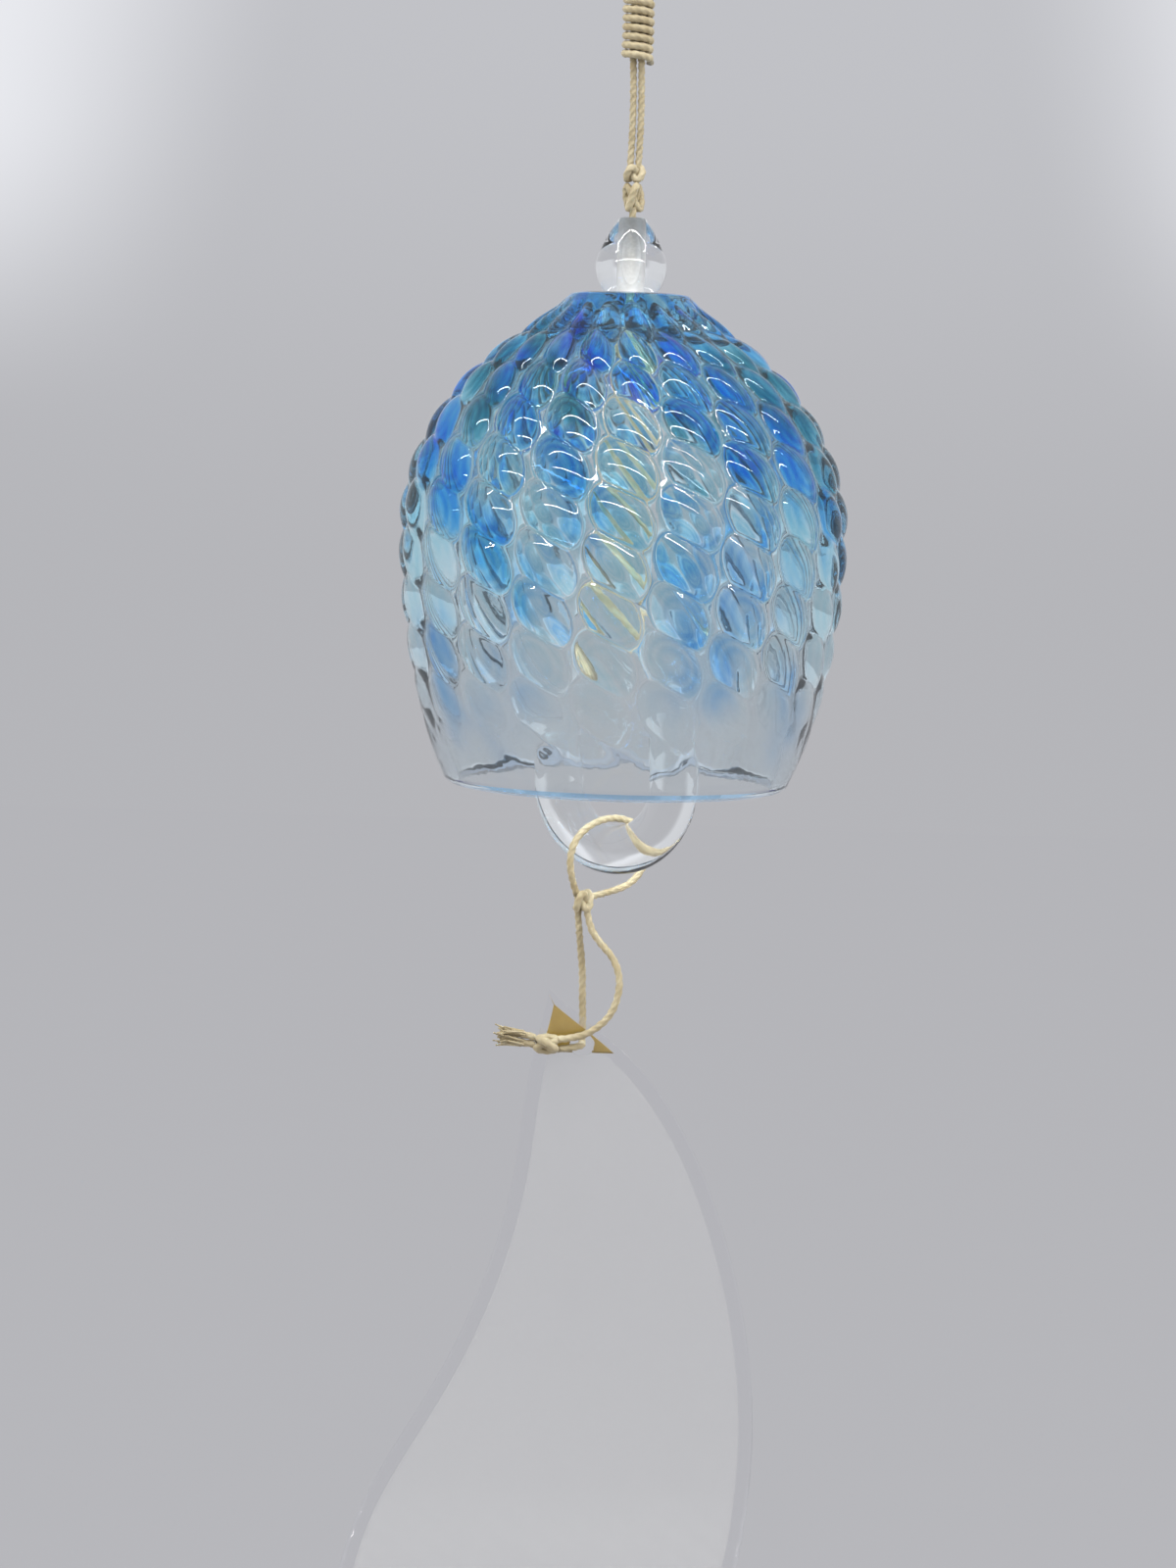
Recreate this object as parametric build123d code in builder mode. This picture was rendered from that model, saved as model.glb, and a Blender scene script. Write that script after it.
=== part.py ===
"""A glass wind bell on a cord: a bead and a bell strung on a knotted cord, a glass ring
inside the bell as its clapper, and a laminated drop-shaped strip that catches the wind.

Millimetres, +Z up. The origin is the inside top of the hanging loop, where a hook carries it.
The front faces -Y.
"""

import os
from math import acos, asin, atan2, cos, degrees, hypot, pi, radians, sin, sqrt, tan

from build123d import *

# Clearances
joint_gap = 0.4
bead_gap = 0.8
seat_gap = 0.2
strand_gap = 0.04
end_gap = 0.1
layer_gap = 0.01

# Cord and the hanging loop
cord_diameter = 1.3
cord_sides = 6
hook_radius = 5.0
loop_length = 40.0

# Whipping that closes the loop
wrap_turns = 7
wrap_pitch = 1.45
wrap_turn_gap = 0.45
wrap_clearance = 0.15
wrap_sides = 4

# Twin strands and the two knots above the bead. A knot's wraps bulge by a share of their height.
wrap_bulge = 0.35
knot_sides = 10
strand_length = 16.5
knot_radius = 2.0
upper_knot_height = 2.8
lower_knot_height = 5.0

# Glass bead
bead_radius = 5.9
bead_foot_radius = 3.2
bead_top_radius = 2.1
bead_height = 13.2
bore_clearance = 0.25

# Bell: the envelope touches the tops of the relief
bell_height = 82.0
bell_radius = 37.5
belly_depth = 39.0
crown_radius = 9.4
shoulder_radius = 24.1
shoulder_depth = 11.2
rim_radius = 28.4
crown_thickness = 4.5
wall = 2.4
rim_wall = 2.4
lip_size = 0.8
hollow_bands = 10
seat_depth = 1.1

# Diamond relief: columns round the bell, rows down its side, swirled to the right
relief_columns = 20
relief_rows = 10
relief_depth = 1.1
relief_start = 3.0
relief_row_pitch = 8.0
relief_twist = 4.0
relief_full_radius = 25.0
relief_fade_rows = 3

# Stop knot under the crown
stop_knot_radius = 3.2
stop_knot_height = 5.0

# Clapper ring and the cord that carries it
clapper_cord_drop = 44.5
rod_radius = 4.25
ring_width = 32.0
ring_height = 47.0
ring_turn = 35.0
rod_sides = 10

# Slack loop round the bottom of the ring, in a plane turned from the front.
# Points are (across, up) from the middle of the ring's bottom.
strip_loop_turn = 35.0
strip_loop_route = [
    (-7.2, -7.4),
    (-8.9, -3.6),
    (-8.6, 1.0),
    (-5.8, 4.0),
    (-1.2, 5.5),
    (3.6, 4.7),
    (6.9, 2.4),
    (7.2, -2.2),
    (4.4, -5.9),
    (-0.3, -7.3),
    (-5.0, -7.9),
]
hitch_across = -6.1
hitch_drop = 8.4
hitch_radius = 2.0
hitch_height = 4.0

# Strands from the hitch to the strip: (x, y, z) from the middle of the hitch's lower face
back_strand_route = [
    (-0.75, 0.2, -joint_gap),
    (-0.2, 0.9, -5.0),
    (0.4, 1.4, -9.8),
    (0.5, 1.6, -14.4),
    (0.7, 1.6, -18.8),
    (0.7, 1.6, -22.4),
    (0.7, -2.4, -22.4),
    (-3.4, -2.6, -22.9),
]
front_strand_route = [
    (0.75, -0.2, -joint_gap),
    (1.3, -0.3, -2.4),
    (3.2, -0.7, -5.0),
    (5.6, -1.3, -7.4),
    (6.8, -2.0, -10.8),
    (6.4, -2.4, -14.4),
    (4.9, -2.7, -17.6),
    (1.6, -2.8, -20.2),
    (-1.5, -2.8, -21.0),
    (-3.4, -2.8, -21.2),
]
strip_knot_place = (-5.2, -2.75, -22.0)
strip_knot_direction = (-1.0, 0.0, 0.2)
strip_knot_radius = 2.0
strip_knot_length = 4.4
tail_length = 7.0
tail_flare = 3.0

# Laminated strip: two films with paper and a coloured corner tab between them.
# Outline points are (x, z) from the cord hole, as seen from the front.
strip_hole_place = (0.7, 0.0, -22.4)
strip_hole_radius = 2.0
strip_tip = (-5.9, 9.2)
strip_tip_leaving = (0.75, -0.66)
strip_tip_arriving = (0.1, 1.0)
strip_right_edge = [(7.1, -1.2), (25.3, -32.9), (30.8, -64.0), (28.0, -89.0), (15.0, -112.0)]
strip_bottom = (-9.0, -121.0)
strip_left_edge = [(-34.0, -111.0), (-38.5, -90.0), (-23.9, -59.2), (-10.8, -21.4), (-8.1, -1.6)]
film_thickness = 0.15
insert_thickness = 0.18
film_border = 2.4
tab_border = 1.3
tab_bottom = -1.4
bend_start = 30.0
bend_radius = 220.0
bend_steps = 8
strip_reach = 70.0

# Levels down the cord
cord_radius = cord_diameter / 2
strand_spacing = cord_diameter + strand_gap
pair_radius = strand_spacing / 2 + cord_radius
wire_diameter = wrap_pitch - wrap_turn_gap
wrap_radius = pair_radius + wrap_clearance + wire_diameter / 2
wrap_top = -loop_length
wrap_bottom = wrap_top - wrap_turns * wrap_pitch - wire_diameter
knot_top = wrap_bottom - joint_gap - strand_length
knot_middle = knot_top - upper_knot_height
knot_bottom = knot_middle - lower_knot_height
bead_top = knot_bottom - bead_gap
bead_bottom = bead_top - bead_height
bead_centre = bead_bottom + sqrt(bead_radius**2 - bead_foot_radius**2)
crown_top = bead_bottom - seat_gap + seat_depth
crown_inside = crown_top - crown_thickness
rim = crown_top - bell_height
stop_knot_top = crown_inside - joint_gap
stop_knot_bottom = stop_knot_top - stop_knot_height
arch_level = stop_knot_bottom - clapper_cord_drop
ring_bottom_level = arch_level - ring_height + 2 * rod_radius
bore_radius = pair_radius + bore_clearance

# Planes of the ring, of the cord that carries it and of the slack loop under it
ring_along = Vector(cos(radians(ring_turn)), -sin(radians(ring_turn)), 0)
ring_across = Vector(sin(radians(ring_turn)), cos(radians(ring_turn)), 0)
ring_plane = Plane((0, 0, arch_level), x_dir=ring_along, z_dir=-ring_across)
clapper_plane = Plane((0, 0, arch_level), x_dir=ring_across, z_dir=ring_along)
loop_along = Vector(cos(radians(strip_loop_turn)), sin(radians(strip_loop_turn)), 0)
loop_plane = Plane((0, 0, ring_bottom_level), x_dir=loop_along, z_dir=loop_along.cross(Vector(0, 0, 1)))

# The hitch under the ring and the cord hole of the strip
hitch_centre = loop_plane.from_local_coords(Vector(hitch_across, -hitch_drop))
hitch_bottom = hitch_centre - Vector(0, 0, hitch_height / 2)
strip_hole = hitch_bottom + Vector(*strip_hole_place)

os.makedirs("parts", exist_ok=True)


def save(solid, name):
    """Label a finished piece and write it to its own file."""
    solid.label = name
    export_step(solid, f"parts/{name}.step")


def cord_round_rod(plane, turn_radius, leg_level):
    """A cord that goes once round a rod at the plane's origin, with both legs led together
    at leg_level above (or, if negative, below) the rod."""
    side = 1 if leg_level > 0 else -1
    reach = hypot(strand_spacing / 2, leg_level)
    lift = asin(turn_radius / reach) - atan2(strand_spacing / 2, abs(leg_level))
    touch = (turn_radius * cos(lift), side * turn_radius * sin(lift))
    with BuildPart() as cord:
        with BuildLine(plane) as route:
            Line((-strand_spacing / 2, leg_level), (-touch[0], touch[1]))
            ThreePointArc((-touch[0], touch[1]), (0, -side * turn_radius), touch)
            Line(touch, (strand_spacing / 2, leg_level))
        with BuildSketch(Plane(route.line @ 0, z_dir=route.line % 0)):
            RegularPolygon(cord_radius, cord_sides)
        sweep(path=route.line)
    return cord.part


def corner_radii(points):
    """Radii as large as the two runs beside each corner allow."""
    radii = []
    for before, corner, after in zip(points, points[1:], points[2:]):
        shorter = min((corner - before).length, (after - corner).length)
        turn = radians((corner - before).get_angle(after - corner))
        radii.append(0.45 * shorter / tan(turn / 2))
    return radii


def cord_along(points, name):
    """A cord swept along straight runs joined by tangent arcs."""
    radii = corner_radii(points)
    print(name, "bend radii", [round(radius, 1) for radius in radii])
    with BuildPart() as cord:
        with BuildLine() as route:
            FilletPolyline(*points, radius=radii)
        with BuildSketch(Plane(route.line @ 0, z_dir=route.line % 0)) as section:
            RegularPolygon(cord_radius, cord_sides)
        sweep(path=route.line)
    length = sum(edge.length for edge in route.edges())
    share = cord.part.volume / (section.sketch.area * length)
    print(name, "length", round(length, 1), "volume share", round(share, 4))
    return cord.part


def strand_pair(plane, length, name):
    """Two straight strands that hang side by side along the plane's x direction."""
    with BuildPart() as strands:
        with BuildSketch(plane):
            with GridLocations(strand_spacing, 1, 2, 1):
                RegularPolygon(cord_radius, cord_sides)
        extrude(amount=-length)
    save(strands.part, name)


def turned_knot(plane, radius, height, wraps):
    """A tight knot as a lump of wraps, each one bulge, standing on the plane."""
    step = height / wraps
    third = step / 3
    waist = radius - wrap_bulge * step
    flare = degrees(atan2((radius - waist) * cos(pi / knot_sides), third))
    with BuildPart() as knot:
        for wrap in range(wraps):
            low = wrap * step
            with BuildSketch(plane.offset(low)):
                RegularPolygon(waist, knot_sides)
            extrude(amount=third, taper=-flare)
            with BuildSketch(plane.offset(low + third)):
                RegularPolygon(radius, knot_sides)
            extrude(amount=third)
            with BuildSketch(plane.offset(low + 2 * third)):
                RegularPolygon(radius, knot_sides)
            extrude(amount=third, taper=flare)
    return knot.part


# Hanging loop: two legs that meet at the whipping and go round the hook
hook_plane = Plane((0, 0, -hook_radius), x_dir=(1, 0, 0), z_dir=(0, -1, 0))
loop_legs = hook_radius - loop_length + end_gap
hanging_loop = cord_round_rod(hook_plane, hook_radius + cord_radius, loop_legs)
save(hanging_loop, "hanging_loop")


def helix_point(turn):
    """A point on the whipping's middle line, after so many turns from the top."""
    angle = 2 * pi * turn
    level = wrap_top - wire_diameter / 2 - wrap_pitch * turn
    return Vector(wrap_radius * cos(angle), wrap_radius * sin(angle), level)


def helix_direction(turn):
    """The whipping's direction after so many turns."""
    angle = 2 * pi * turn
    climb = -wrap_pitch / (2 * pi * wrap_radius)
    return Vector(-sin(angle), cos(angle), climb).normalized()


def biarc_middle(start, end, leaving, arriving):
    """Where the two arcs that join start to end meet, and their direction there."""
    chord = end - start
    both = leaving + arriving
    square = 2 - 2 * leaving.dot(arriving)
    linear = 2 * chord.dot(both)
    reach = (sqrt(linear**2 + 4 * square * chord.dot(chord)) - linear) / (2 * square)
    first = start + leaving * reach
    second = end - arriving * reach
    return (first + second) * 0.5, (second - first).normalized()


# Whipping: one unbroken wire wound down round the two strands
with BuildPart() as whipping:
    with BuildLine() as winding:
        first_end = helix_point(0)
        Line(first_end - helix_direction(0) * wire_diameter, first_end)
        for half in range(2 * wrap_turns):
            turn = half / 2
            start = helix_point(turn)
            end = helix_point(turn + 0.5)
            leaving = helix_direction(turn)
            middle, passing = biarc_middle(start, end, leaving, helix_direction(turn + 0.5))
            TangentArc(start, middle, tangent=leaving)
            TangentArc(middle, end, tangent=passing)
        last_end = helix_point(wrap_turns)
        Line(last_end, last_end + helix_direction(wrap_turns) * wire_diameter)
    with BuildSketch(Plane(winding.line @ 0, z_dir=winding.line % 0)):
        RegularPolygon(wire_diameter / 2, wrap_sides)
    sweep(path=winding.line)
save(whipping.part, "whipping")

winding_samples = [helix_point(step / 24) for step in range(24 * wrap_turns + 1)]
least_gap = min(
    (one - other).length - wire_diameter
    for place, one in enumerate(winding_samples)
    for other in winding_samples[place + 12:]
)
print("whipping least gap to itself", round(least_gap, 3))

# Strands inside the whipping and below it
strand_pair(Plane.XY.offset(wrap_top), wrap_top - wrap_bottom, "whipped_strands")
strand_pair(Plane.XY.offset(wrap_bottom - joint_gap), strand_length, "suspension_strands")

# Two overhand knots that stop the bead
save(turned_knot(Plane.XY.offset(knot_middle), knot_radius, upper_knot_height, 2), "upper_knot")
save(turned_knot(Plane.XY.offset(knot_bottom), knot_radius, lower_knot_height, 3), "lower_knot")

# Strands through the bead and the crown, one behind the other, and their stop knot
core_top = knot_bottom - joint_gap
strand_pair(Plane((0, 0, core_top), x_dir=(0, 1, 0)), core_top - stop_knot_top, "core_strands")
save(turned_knot(Plane.XY.offset(stop_knot_bottom), stop_knot_radius, stop_knot_height, 3), "stop_knot")

# Glass bead: a ball drawn up to a narrow top, bored for the two strands
bead_neck = bead_top - bead_centre
touch_angle = atan2(bead_neck, bead_top_radius) - acos(bead_radius / hypot(bead_top_radius, bead_neck))
bead_touch = (bead_radius * cos(touch_angle), bead_centre + bead_radius * sin(touch_angle))
with BuildPart() as drop_bead:
    with BuildSketch(Plane.XZ):
        with BuildLine():
            Line((bore_radius, bead_top), (bore_radius, bead_bottom))
            Line((bore_radius, bead_bottom), (bead_foot_radius, bead_bottom))
            ThreePointArc((bead_foot_radius, bead_bottom), (bead_radius, bead_centre), bead_touch)
            Line(bead_touch, (bead_top_radius, bead_top))
            Line((bead_top_radius, bead_top), (bore_radius, bead_top))
        make_face()
    revolve(axis=Axis.Z)
save(drop_bead.part, "drop_bead")

# Envelope of the bell, drawn as radius and level
with BuildLine() as envelope:
    Spline(
        (crown_radius, crown_top),
        (shoulder_radius, crown_top - shoulder_depth),
        (bell_radius, crown_top - belly_depth),
        tangents=[(1, -0.9), (0, -1)],
    )
    Spline(
        (bell_radius, crown_top - belly_depth),
        (rim_radius, rim),
        tangents=[(0, -1), (-0.5, -1)],
    )
side = envelope.wires()[0]
relief_end = relief_start + relief_rows * relief_row_pitch


def side_point(distance):
    """Radius and level of the envelope, so far down its side from the crown's edge."""
    place = side.position_at(distance, position_mode=PositionMode.LENGTH)
    return place.X, place.Y


def is_top(half_row, corner):
    """Whether a corner of a level is the top of a diamond, and not in a groove."""
    row = half_row // 2
    return half_row % 2 == 1 and (corner + row) % 2 == 0


def relief_section(half_row):
    """Corner points of one level of the relief: tops and grooves in turn on a row's middle,
    grooves alone between two rows."""
    radius, level = side_point(relief_start + half_row * relief_row_pitch / 2)
    fade = min(1, (relief_rows - half_row // 2) / relief_fade_rows)
    depth = relief_depth * fade * min(1, radius / relief_full_radius)
    corners = []
    for corner in range(2 * relief_columns):
        angle = radians(corner * 180 / relief_columns + half_row * relief_twist)
        reach = radius if is_top(half_row, corner) else radius - depth
        corners.append(Vector(reach * cos(angle), reach * sin(angle), level))
    return corners


def flat_face(*points):
    """A flat face with straight edges."""
    return Face(Wire.make_polygon(points, close=True))


def corner_ring(radius, level):
    """Corners of a level with as many sides as the relief."""
    ring = []
    for corner in range(2 * relief_columns):
        angle = radians(corner * 180 / relief_columns)
        ring.append(Vector(radius * cos(angle), radius * sin(angle), level))
    return ring


# Diamond relief: between two levels, each four corners fold along the line between their grooves
crown_edge = corner_ring(crown_radius, crown_top)
sections = [relief_section(half_row) for half_row in range(2 * relief_rows + 1)]
facets = [flat_face(*crown_edge), flat_face(*sections[-1])]
for upper_row, (upper, lower) in enumerate(zip([crown_edge, *sections], sections), start=-1):
    for corner in range(2 * relief_columns):
        beside = (corner + 1) % (2 * relief_columns)
        square = [upper[corner], upper[beside], lower[beside], lower[corner]]
        if is_top(upper_row, corner) or is_top(upper_row + 1, beside):
            square = square[1:] + square[:1]
        facets.append(flat_face(square[0], square[1], square[2]))
        facets.append(flat_face(square[0], square[2], square[3]))
relief_body = Solid(Shell(facets))

# Hollow: it follows the envelope, a wall and the relief's depth inside it
skin = wall + relief_depth
hollow_points = []
for share in (0.35, 0.5, 0.75):
    heading = side.tangent_at(share)
    hollow_points.append(side.position_at(share) + Vector(heading.Y, -heading.X) * skin)
with BuildLine() as hollow_side:
    Spline(
        (0, crown_inside),
        *hollow_points,
        (rim_radius - rim_wall, rim),
        tangents=[(1, 0), (-0.5, -1)],
    )
hollow_shares = [1 / (3 * hollow_bands), *[band / hollow_bands for band in range(1, hollow_bands + 1)]]
hollow_steps = [hollow_side.line @ share for share in hollow_shares]
hollow_rings = [corner_ring(step.X, step.Y) for step in hollow_steps]
hollow_faces = [flat_face(*hollow_rings[0]), flat_face(*hollow_rings[-1])]
for upper, lower in zip(hollow_rings, hollow_rings[1:]):
    for corner in range(2 * relief_columns):
        beside = (corner + 1) % (2 * relief_columns)
        hollow_faces.append(flat_face(upper[corner], upper[beside], lower[beside], lower[corner]))
hollow_body = Solid(Shell(hollow_faces))

# Bell: the smooth lower band and the relief above it, hollowed as one
band_level = side_point(relief_end)[1]
lip_share = 1.5 * lip_size / (hollow_steps[-2].Y - rim)
lip_top = hollow_steps[-1] + (hollow_steps[-2] - hollow_steps[-1]) * lip_share
with BuildPart() as bell:
    with BuildSketch(Plane.XZ):
        with BuildLine():
            add(envelope.line)
            Line((rim_radius, rim), (0, rim))
            Line((0, rim), (0, crown_top))
            Line((0, crown_top), (crown_radius, crown_top))
        make_face()
    revolve(axis=Axis.Z)
    split(bisect_by=Plane.XY.offset(band_level), keep=Keep.BOTTOM)
    chamfer(bell.edges().filter_by(GeomType.CIRCLE).group_by(Axis.Z)[0], length=lip_size)
    add(relief_body)
    add(hollow_body, mode=Mode.SUBTRACT)

    # Inner side of the lip
    with BuildSketch(Plane.XZ):
        with BuildLine():
            Polyline(
                (0, rim),
                (rim_radius - rim_wall + lip_size, rim),
                (lip_top.X, lip_top.Y),
                (0, lip_top.Y),
                close=True,
            )
        make_face()
    revolve(axis=Axis.Z, mode=Mode.SUBTRACT)

    # Seat for the bead, and the hole for the strands
    with BuildSketch(Plane.XZ):
        with BuildLine():
            foot = bead_foot_radius + seat_gap
            bowl_radius = bead_radius + seat_gap
            bowl_foot = bead_centre - sqrt(bowl_radius**2 - foot**2)
            Line((0, bead_centre), (0, bowl_foot))
            Line((0, bowl_foot), (foot, bowl_foot))
            RadiusArc((foot, bowl_foot), (bowl_radius, bead_centre), -bowl_radius)
            Line((bowl_radius, bead_centre), (0, bead_centre))
        make_face()
    revolve(axis=Axis.Z, mode=Mode.SUBTRACT)
    with Locations((0, 0, crown_top)):
        Hole(bore_radius)
save(bell.part, "bell")

# Clapper: a long glass ring, and the cord that goes through it and up to the stop knot
rod_clear = rod_radius + joint_gap + cord_radius
save(cord_round_rod(clapper_plane, rod_clear, clapper_cord_drop - joint_gap), "clapper_cord")

ring_bend = ring_width / 2 - rod_radius
ring_straight = ring_height - ring_width
with BuildPart() as clapper_ring:
    with BuildLine(ring_plane) as ring_route:
        Line((ring_bend, -ring_bend - ring_straight), (ring_bend, -ring_bend))
        ThreePointArc((ring_bend, -ring_bend), (0, 0), (-ring_bend, -ring_bend))
        Line((-ring_bend, -ring_bend), (-ring_bend, -ring_bend - ring_straight))
        ThreePointArc(
            (-ring_bend, -ring_bend - ring_straight),
            (0, -2 * ring_bend - ring_straight),
            (ring_bend, -ring_bend - ring_straight),
        )
    with BuildSketch(Plane(ring_route.line @ 0, z_dir=ring_route.line % 0)):
        RegularPolygon(rod_radius, rod_sides)
    sweep(path=ring_route.line)
save(clapper_ring.part, "clapper_ring")

# Slack loop round the ring, its hitch, and the two strands down to the strip
loop_points = [loop_plane.from_local_coords(Vector(*point)) for point in strip_loop_route]
save(cord_along(loop_points, "strip_loop"), "strip_loop")
hitch_plane = Plane(hitch_bottom)
save(turned_knot(hitch_plane, hitch_radius, hitch_height, 2), "hitch_knot")
back_points = [hitch_bottom + Vector(*point) for point in back_strand_route]
save(cord_along(back_points, "back_strand"), "back_strand")
front_points = [hitch_bottom + Vector(*point) for point in front_strand_route]
save(cord_along(front_points, "front_strand"), "front_strand")

# Knot that ties the two strands in front of the strip, with its frayed ends
knot_along = Vector(*strip_knot_direction).normalized()
knot_start = hitch_bottom + Vector(*strip_knot_place) - knot_along * (strip_knot_length / 2)
knot_end = knot_start + knot_along * strip_knot_length
knot_plane = Plane(knot_start, x_dir=(0, 1, 0), z_dir=knot_along)
save(turned_knot(knot_plane, strip_knot_radius, strip_knot_length, 3), "strip_knot")
with BuildPart() as strip_tails:
    with BuildSketch(Plane(knot_end, x_dir=knot_plane.y_dir, z_dir=knot_along)):
        with GridLocations(strand_spacing, 1, 2, 1):
            RegularPolygon(cord_radius, cord_sides)
    extrude(amount=tail_length, taper=-tail_flare)
save(strip_tails.part, "strip_tails")

# Outline of the strip as it is seen from the front, round the line of the cord hole
strip_front = Plane(strip_hole + Vector(0, strip_reach, 0), x_dir=(1, 0, 0), z_dir=(0, -1, 0))
with BuildLine() as drop_lines:
    right_line = Spline(
        strip_tip, *strip_right_edge, strip_bottom, tangents=[strip_tip_leaving, (-1, 0)]
    )
    left_line = Spline(
        strip_bottom, *strip_left_edge, strip_tip, tangents=[(-1, 0), strip_tip_arriving]
    )


def inward(heading):
    """The direction into the strip, for a heading round its outline."""
    return Vector(heading.Y, -heading.X).normalized()


def inset_points(line, points, inset):
    """Points of an edge, moved into the strip."""
    moved = []
    for point in points:
        heading = line.tangent_at(line.param_at_point(Vector(*point)))
        moved.append(Vector(*point) + inward(heading) * inset)
    return moved


def strip_outline(inset):
    """The strip's outline, moved inwards by inset, with the cord hole."""
    leaving = inward(Vector(*strip_tip_leaving))
    arriving = inward(Vector(*strip_tip_arriving))
    into_corner = (leaving + arriving).normalized()
    tip = Vector(*strip_tip) + into_corner * (inset / into_corner.dot(leaving))
    bottom = Vector(*strip_bottom) + Vector(0, inset)
    right_edge = inset_points(right_line, strip_right_edge, inset)
    left_edge = inset_points(left_line, strip_left_edge, inset)
    with BuildSketch(strip_front) as outline:
        with BuildLine():
            Spline(tip, *right_edge, bottom, tangents=[strip_tip_leaving, (-1, 0)])
            Spline(bottom, *left_edge, tip, tangents=[(-1, 0), strip_tip_arriving])
        make_face()
        Circle(strip_hole_radius, mode=Mode.SUBTRACT)
    return outline


film_outline = strip_outline(0)
whole_paper = strip_outline(film_border)
whole_tab = strip_outline(tab_border)

with BuildSketch(strip_front) as paper_outline:
    add(whole_paper.sketch_local)
    with Locations((0, tab_bottom - layer_gap)):
        Rectangle(2 * strip_reach, strip_reach, align=(Align.CENTER, Align.MIN), mode=Mode.SUBTRACT)

with BuildSketch(strip_front) as tab_outline:
    add(whole_tab.sketch_local)
    with Locations((0, tab_bottom)):
        Rectangle(2 * strip_reach, strip_reach, align=(Align.CENTER, Align.MIN), mode=Mode.INTERSECT)

# The layers, cut from sheets that are flat at the top and curl to the front below
strip_side = Plane(strip_hole - Vector(strip_reach, 0, 0), x_dir=(0, 1, 0), z_dir=(1, 0, 0))
bend_turn = asin((film_border - strip_bottom[1] - bend_start) / bend_radius)


def sheet_line(distance):
    """Points down the sheet, at a distance behind its middle."""
    points = [(distance, strip_tip[1] + film_border)]
    for step in range(bend_steps + 1):
        turn = bend_turn * step / bend_steps
        radius = bend_radius + distance
        points.append((radius * cos(turn) - bend_radius, -bend_start - radius * sin(turn)))
    return points


def strip_layer(front, back, outline, name):
    """One layer of the strip, between two distances behind its middle."""
    with BuildPart() as layer:
        with BuildSketch(strip_side):
            with BuildLine():
                Polyline(*sheet_line(front), *reversed(sheet_line(back)), close=True)
            make_face()
        extrude(amount=2 * strip_reach)
        extrude(to_extrude=outline.sketch, amount=2 * strip_reach, mode=Mode.INTERSECT)
    save(layer.part, name)


insert_half = insert_thickness / 2
film_inner = insert_half + layer_gap
film_outer = film_inner + film_thickness
strip_layer(-film_outer, -film_inner, film_outline, "front_film")
strip_layer(film_inner, film_outer, film_outline, "back_film")
strip_layer(-insert_half, insert_half, paper_outline, "paper_insert")
strip_layer(-insert_half, insert_half, tab_outline, "corner_tab")
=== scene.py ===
"""Looks of a glass wind bell: swirled diamond-optic glass, waxed cord, a clear bead and ring,
and a laminated strip. Sizes are millimetres in the tables below and metres in the meshes.
"""

from math import acos, atan2, cos, hypot, pi, radians, sin, sqrt

import bpy
import numpy as np
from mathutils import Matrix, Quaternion, Vector


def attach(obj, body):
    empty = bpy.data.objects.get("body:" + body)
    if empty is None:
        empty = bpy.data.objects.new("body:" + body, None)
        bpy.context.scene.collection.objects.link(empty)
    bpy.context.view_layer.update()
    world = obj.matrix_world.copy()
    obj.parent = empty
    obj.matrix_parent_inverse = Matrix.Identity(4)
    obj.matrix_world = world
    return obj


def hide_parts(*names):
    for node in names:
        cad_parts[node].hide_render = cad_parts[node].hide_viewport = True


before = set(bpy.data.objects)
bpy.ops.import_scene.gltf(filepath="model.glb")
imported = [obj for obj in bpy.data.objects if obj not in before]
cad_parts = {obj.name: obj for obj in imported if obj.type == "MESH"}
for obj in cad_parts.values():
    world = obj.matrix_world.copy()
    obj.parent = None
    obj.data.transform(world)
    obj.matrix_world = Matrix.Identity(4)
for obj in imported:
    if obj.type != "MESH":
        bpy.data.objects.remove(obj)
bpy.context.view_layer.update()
random = np.random.default_rng(7)

# Sizes that follow the part
MM = 0.001
cord_radius = 0.65
strand_half = 0.67
hook_radius = 5.0
wrap_top, wrap_bottom = -40.0, -51.15
wrap_turns, wrap_pitch = 7, 1.45
knot_top, knot_middle, knot_bottom = -68.05, -70.85, -75.85
bead_radius, bead_foot, bead_neck = 5.9, 3.2, 2.1
bead_top, bead_bottom, bead_centre = -76.65, -89.85, -84.893
bore_radius = 1.57
crown_top, crown_inside, rim = -88.95, -93.45, -170.95
crown_radius, shoulder_radius, shoulder_depth = 9.4, 24.1, 11.2
bell_radius, belly_depth, rim_radius, rim_wall = 37.5, 39.0, 28.4, 2.4
seat_gap, seat_inner, seat_outer = 0.2, 3.4, 5.4
hollow_route = [(18.9, -98.2), (30.8, -113.5), (33.9, -130.0), (32.3, -152.4)]
columns, row_pitch, first_row, relief_depth = 20, 8.0, 7.0, 1.5
pillow_pitch, pillow_half_long, pillow_half_wide, pillow_lean = 11.2, 6.9, 4.0, 48.0
stop_top, stop_bottom, stop_radius = -93.85, -98.85, 3.2
arch_level, ring_bottom = -143.35, -181.85
rod_radius, ring_bend, ring_straight, ring_turn = 4.25, 11.75, 15.0, 35.0
loop_turn = 35.0
hitch = Vector((-4.997, -3.499, -190.25))
hitch_bottom = Vector((-4.997, -3.499, -192.25))
strip_hole = Vector((-4.297, -3.499, -214.65))
hole_radius = 2.0
bend_start, bend_radius = 30.0, 220.0

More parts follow.
